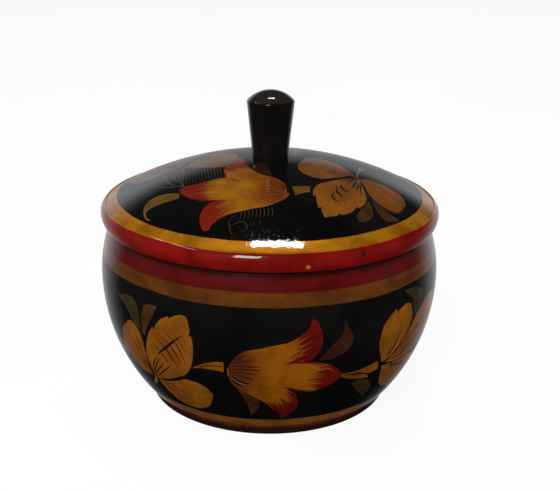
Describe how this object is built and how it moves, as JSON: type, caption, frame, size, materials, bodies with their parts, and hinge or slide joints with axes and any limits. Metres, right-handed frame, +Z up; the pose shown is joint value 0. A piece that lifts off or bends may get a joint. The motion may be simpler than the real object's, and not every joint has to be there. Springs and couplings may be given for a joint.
{
  "type": "lidded sugar bowl",
  "caption": "Turned wooden bowl with a flat rim, a domed lift-off lid that drops into the mouth, and a flared knob.",
  "frame": {"origin": "middle of the foot ring's resting face, at the bottom of the bowl", "axes": "+Z up along the turning axis, from the foot through the lid knob; +X to the right and -Y towards the viewer"},
  "size_m": [0.1214, 0.1214, 0.1104],
  "materials": {
    "bowl_lacquer": "gloss lacquer over painted linden wood",
    "lid_lacquer": "gloss lacquer over painted linden wood",
    "knob_lacquer": "gloss lacquer over painted linden wood"
  },
  "bodies": {
    "bowl": {"bowl": "bowl_lacquer"},
    "lid": {"lid": "lid_lacquer", "lid_knob": "knob_lacquer"}
  },
  "joints": [
    {"name": "lid_lift", "type": "slide", "parent": "bowl", "child": "lid", "axis": [0, 0, 1], "range_m": [0, 0.06]}
  ]
}
